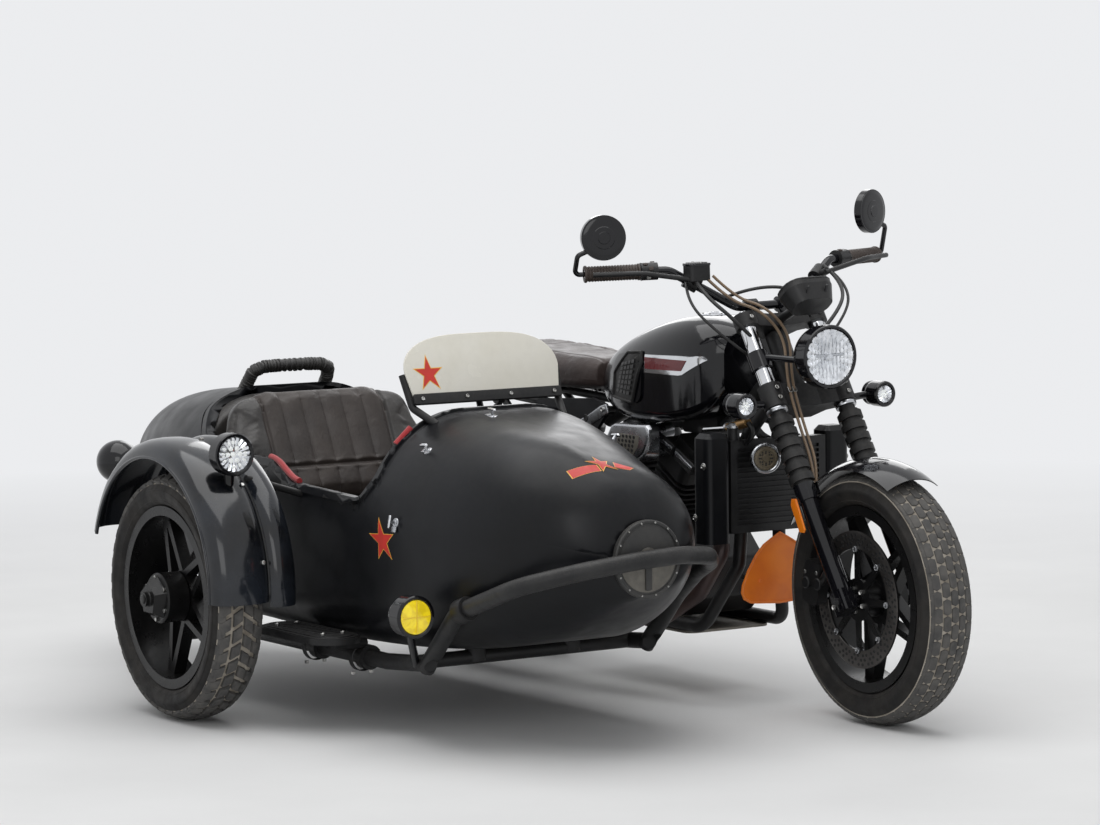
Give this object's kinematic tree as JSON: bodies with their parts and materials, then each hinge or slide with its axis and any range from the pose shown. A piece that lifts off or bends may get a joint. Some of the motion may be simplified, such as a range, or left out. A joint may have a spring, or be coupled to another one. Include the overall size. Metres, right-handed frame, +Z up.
{
  "type": "sidecar motorcycle",
  "caption": "Motorcycle with a rigidly attached passenger sidecar: steered telescopic fork, turning wheels, open cockpit with screen, padded seat, grab bar, lamps and bumper.",
  "frame": {"origin": "centre of the whole vehicle's box, on the floor", "axes": "+X forward, +Y to the motorcycle's left, +Z up; the sidecar is on the right, at -Y"},
  "size_m": [2.4928, 1.8261, 1.2218],
  "materials": {
    "tyre_rubber": "matt moulded rubber",
    "black_cast": "satin black",
    "gloss_black": "gloss black",
    "matt_black": "matt black",
    "frame_black": "satin black",
    "chrome": "polished",
    "steel": "brushed",
    "black_plastic": "grained",
    "rubber": "matt",
    "engine_black": "satin black with bare fin edges",
    "guard_orange": "gloss",
    "header_brown": "heat stained",
    "guard_grey": "brushed",
    "brown_leather": "waxed",
    "dark_leather": "waxed",
    "clear_pane": "clear, slightly cream",
    "lamp_clear": "faceted",
    "lamp_yellow": "ribbed"
  },
  "bodies": {
    "chassis": {"main_frame": "frame_black", "crankcase": "engine_black", "cylinders": "engine_black", "air_filter": "chrome", "radiator": "black_plastic", "radiator_shrouds": "black_plastic", "exhaust": "header_brown", "skid_plate": "guard_grey", "chin_guard": "guard_orange", "fuel_tank": "gloss_black", "saddle": "brown_leather", "rear_fender": "gloss_black", "side_panels": "steel", "swingarm": "frame_black", "rear_shocks": "frame_black", "drive_belt": "rubber", "sidecar_body": "matt_black", "nose_cover": "matt_black", "sidecar_cushion": "dark_leather", "sidecar_seat_back": "dark_leather", "grab_rail": "dark_leather", "windshield": "clear_pane", "windshield_frame": "frame_black", "sidecar_frame": "frame_black", "sidecar_axle": "frame_black", "bumper": "frame_black", "step_plate": "frame_black", "sidecar_fender": "gloss_black", "sidecar_lamps": "lamp_clear", "fog_lamp": "lamp_yellow"},
    "steering": {"fork_yokes": "black_cast", "fork_gaiters": "rubber", "fork_sliders": "gloss_black", "brake_caliper": "black_cast", "handlebar": "frame_black", "hand_controls": "rubber", "mirrors": "matt_black", "headlamps": "lamp_clear", "gauge_pod": "black_plastic", "front_fender": "gloss_black"},
    "front_wheel": {"front_tyre": "tyre_rubber", "front_wheel": "black_cast"},
    "rear_wheel": {"rear_tyre": "tyre_rubber", "rear_wheel": "black_cast"},
    "sidecar_wheel": {"sidecar_tyre": "tyre_rubber", "sidecar_wheel": "black_cast"}
  },
  "joints": [
    {"name": "steering", "type": "hinge", "parent": "chassis", "child": "steering", "pos_m": [0.92016, 0.461, 0.27871], "axis": [-0.5225, 0, 0.8526], "range_deg": [-32.5, 37.5]},
    {"name": "front_wheel_spin", "type": "hinge", "parent": "steering", "child": "front_wheel", "pos_m": [0.94997, 0.45947, 0.29698], "axis": [0.0372, 0.999, 0.0228], "continuous": true},
    {"name": "rear_wheel_spin", "type": "hinge", "parent": "chassis", "child": "rear_wheel", "pos_m": [-0.606, 0.461, 0.295], "axis": [0, 1, 0], "continuous": true},
    {"name": "sidecar_wheel_spin", "type": "hinge", "parent": "chassis", "child": "sidecar_wheel", "pos_m": [-0.103, -0.8, 0.294], "axis": [0, 1, 0], "continuous": true}
  ]
}
